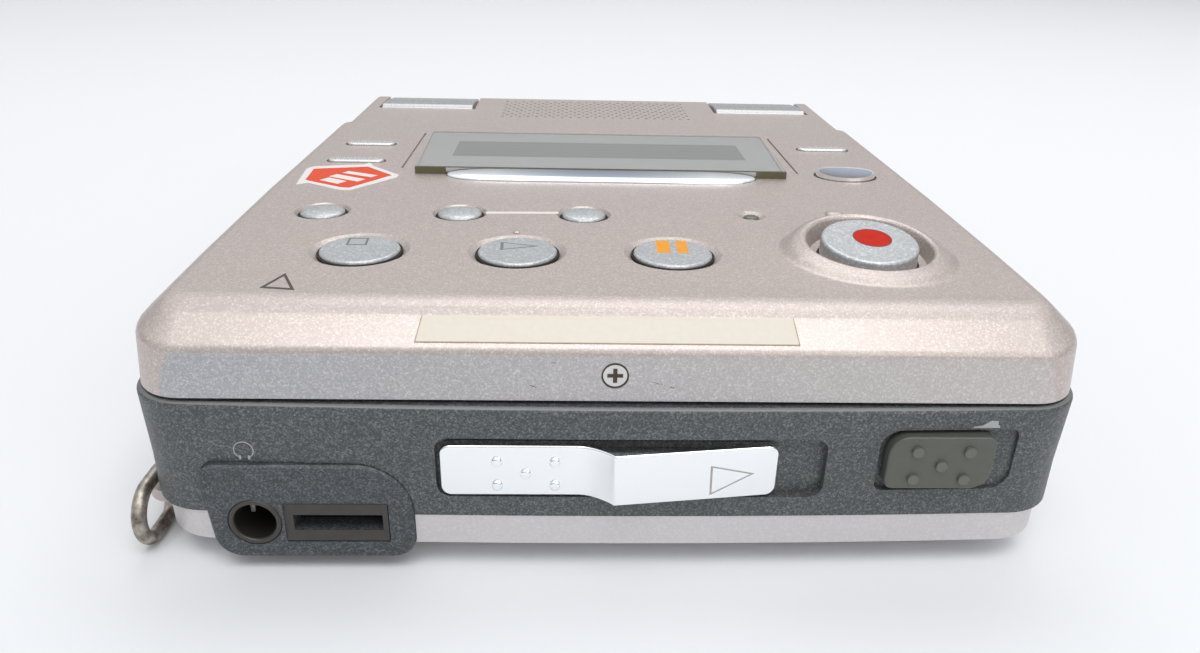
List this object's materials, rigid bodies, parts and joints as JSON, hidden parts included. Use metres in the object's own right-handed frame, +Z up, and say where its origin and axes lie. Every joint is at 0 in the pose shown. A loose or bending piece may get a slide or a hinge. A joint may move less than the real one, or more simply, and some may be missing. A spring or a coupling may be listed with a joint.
{
  "type": "portable minidisc player",
  "caption": "Pocket-size minidisc recorder and player with a hinged lid, raised record key, display window, latch lever, disc holder, spindle and pickup sled",
  "frame": {"origin": "on the table under the middle of the case, at the underside of the silver bottom cover", "axes": "+Z up, +Y from the front face with the lever and the jack towards the hinge, +X to the right of someone who faces the front"},
  "size_m": [0.0845, 0.0988, 0.0263],
  "materials": {
    "lid_shell": "satin",
    "lid_inner_frame": "matte",
    "hinge_pins": "satin",
    "lcd_window": "gloss",
    "window_bar": "polished",
    "lcd_panel": "gloss",
    "mic_covers": "satin",
    "mic_capsules": "satin",
    "speaker": "matte",
    "lamp": "gloss",
    "key_board": "gloss",
    "key_switches": "satin",
    "latch_striker": "satin",
    "lid_screws": "satin",
    "base_frame": "satin",
    "bottom_cover": "satin",
    "battery_door": "satin",
    "bottom_screws": "satin",
    "jack_housing": "satin",
    "headphone_jack": "matte",
    "remote_socket": "matte",
    "open_lever": "polished",
    "latch_slide": "satin",
    "hold_knob": "satin",
    "strap_lug": "satin",
    "strap_ring": "tarnished",
    "main_board": "gloss",
    "board_chips": "matte",
    "chassis_plate": "satin",
    "chassis_dampers": "matte",
    "spindle_motor": "satin",
    "turntable": "satin",
    "guide_rods": "polished",
    "sled_motor": "satin",
    "lead_screw": "satin",
    "pickup_sled": "matte",
    "pickup_lens": "gloss",
    "disc_holder": "satin",
    "holder_rails": "satin",
    "holder_pins": "satin",
    "battery_cell": "gloss",
    "battery_bay": "matte",
    "battery_contacts": "satin",
    "stop_key": "satin",
    "play_key": "satin",
    "pause_key": "satin",
    "speed_key": "satin",
    "review_key": "satin",
    "cue_key": "satin",
    "record_key": "satin",
    "oval_key": "polished",
    "slim_key_right": "satin",
    "slim_key_left_rear": "satin",
    "slim_key_left_front": "satin"
  },
  "bodies": {
    "case": {"base_frame": "base_frame", "bottom_cover": "bottom_cover", "bottom_screws": "bottom_screws", "jack_housing": "jack_housing", "headphone_jack": "headphone_jack", "remote_socket": "remote_socket", "strap_lug": "strap_lug", "main_board": "main_board", "board_chips": "board_chips", "chassis_plate": "chassis_plate", "chassis_dampers": "chassis_dampers", "spindle_motor": "spindle_motor", "guide_rods": "guide_rods", "sled_motor": "sled_motor", "holder_pins": "holder_pins", "battery_bay": "battery_bay", "battery_contacts": "battery_contacts", "battery_cell": "battery_cell"},
    "lid": {"lid_shell": "lid_shell", "lid_inner_frame": "lid_inner_frame", "hinge_pins": "hinge_pins", "lcd_window": "lcd_window", "window_bar": "window_bar", "lcd_panel": "lcd_panel", "mic_covers": "mic_covers", "mic_capsules": "mic_capsules", "speaker": "speaker", "lamp": "lamp", "key_board": "key_board", "key_switches": "key_switches", "latch_striker": "latch_striker", "lid_screws": "lid_screws"},
    "holder": {"disc_holder": "disc_holder", "holder_rails": "holder_rails"},
    "lever": {"open_lever": "open_lever", "latch_slide": "latch_slide"},
    "hold": {"hold_knob": "hold_knob"},
    "ring": {"strap_ring": "strap_ring"},
    "turntable": {"turntable": "turntable"},
    "sled": {"pickup_sled": "pickup_sled", "pickup_lens": "pickup_lens"},
    "screw": {"lead_screw": "lead_screw"},
    "door": {"battery_door": "battery_door"},
    "stop_key": {"stop_key": "stop_key"},
    "play_key": {"play_key": "play_key"},
    "pause_key": {"pause_key": "pause_key"},
    "speed_key": {"speed_key": "speed_key"},
    "review_key": {"review_key": "review_key"},
    "cue_key": {"cue_key": "cue_key"},
    "record_key": {"record_key": "record_key"},
    "oval_key": {"oval_key": "oval_key"},
    "slim_key_right": {"slim_key_right": "slim_key_right"},
    "slim_key_left_rear": {"slim_key_left_rear": "slim_key_left_rear"},
    "slim_key_left_front": {"slim_key_left_front": "slim_key_left_front"}
  },
  "joints": [
    {"name": "lid_hinge", "type": "hinge", "parent": "case", "child": "lid", "pos_m": [0, 0.046, 0.0191], "axis": [-1, 0, 0], "range_deg": [0, 50]},
    {"name": "holder_lift", "type": "hinge", "parent": "case", "child": "holder", "pos_m": [0, 0.032, 0.0132], "axis": [-1, 0, 0], "range_deg": [0, 18]},
    {"name": "open_slide", "type": "slide", "parent": "case", "child": "lever", "axis": [1, 0, 0], "range_m": [0, 0.0034], "stiffness_N_per_m": 200},
    {"name": "hold_slide", "type": "slide", "parent": "case", "child": "hold", "axis": [1, 0, 0], "range_m": [0, 0.0014]},
    {"name": "ring_swing", "type": "hinge", "parent": "case", "child": "ring", "pos_m": [-0.0419, -0.0406, 0.0036], "axis": [0, 0, 1], "range_deg": [-178, 0]},
    {"name": "disc_spin", "type": "hinge", "parent": "case", "child": "turntable", "pos_m": [0, -0.0093, 0.0087], "axis": [0, 0, 1], "continuous": true},
    {"name": "sled_travel", "type": "slide", "parent": "case", "child": "sled", "axis": [1, 0, 0], "range_m": [0, 0.0155]},
    {"name": "screw_turn", "type": "hinge", "parent": "case", "child": "screw", "pos_m": [0.012, -0.023, 0.0056], "axis": [1, 0, 0], "range_deg": [0, 1800]},
    {"name": "door_slide", "type": "slide", "parent": "case", "child": "door", "axis": [0, 1, 0], "range_m": [0, 0.02]},
    {"name": "stop_key_press", "type": "slide", "parent": "lid", "child": "stop_key", "axis": [0, 0, -1], "range_m": [0, 0.0004], "stiffness_N_per_m": 200},
    {"name": "play_key_press", "type": "slide", "parent": "lid", "child": "play_key", "axis": [0, 0, -1], "range_m": [0, 0.0004], "stiffness_N_per_m": 200},
    {"name": "pause_key_press", "type": "slide", "parent": "lid", "child": "pause_key", "axis": [0, 0, -1], "range_m": [0, 0.0004], "stiffness_N_per_m": 200},
    {"name": "speed_key_press", "type": "slide", "parent": "lid", "child": "speed_key", "axis": [0, 0, -1], "range_m": [0, 0.0004], "stiffness_N_per_m": 200},
    {"name": "review_key_press", "type": "slide", "parent": "lid", "child": "review_key", "axis": [0, 0, -1], "range_m": [0, 0.0004], "stiffness_N_per_m": 200},
    {"name": "cue_key_press", "type": "slide", "parent": "lid", "child": "cue_key", "axis": [0, 0, -1], "range_m": [0, 0.0004], "stiffness_N_per_m": 200},
    {"name": "record_key_press", "type": "slide", "parent": "lid", "child": "record_key", "axis": [0, 0, -1], "range_m": [0, 0.0004], "stiffness_N_per_m": 200},
    {"name": "oval_key_press", "type": "slide", "parent": "lid", "child": "oval_key", "axis": [0, 0, -1], "range_m": [0, 0.0004], "stiffness_N_per_m": 200},
    {"name": "slim_key_right_press", "type": "slide", "parent": "lid", "child": "slim_key_right", "axis": [0, 0, -1], "range_m": [0, 0.0004], "stiffness_N_per_m": 200},
    {"name": "slim_key_left_rear_press", "type": "slide", "parent": "lid", "child": "slim_key_left_rear", "axis": [0, 0, -1], "range_m": [0, 0.0004], "stiffness_N_per_m": 200},
    {"name": "slim_key_left_front_press", "type": "slide", "parent": "lid", "child": "slim_key_left_front", "axis": [0, 0, -1], "range_m": [0, 0.0004], "stiffness_N_per_m": 200}
  ],
  "couplings": [
    {"joint": "holder_lift", "follows": "lid_hinge", "ratio": 0.36},
    {"joint": "screw_turn", "follows": "sled_travel", "rad_per_m": 2026.3}
  ]
}
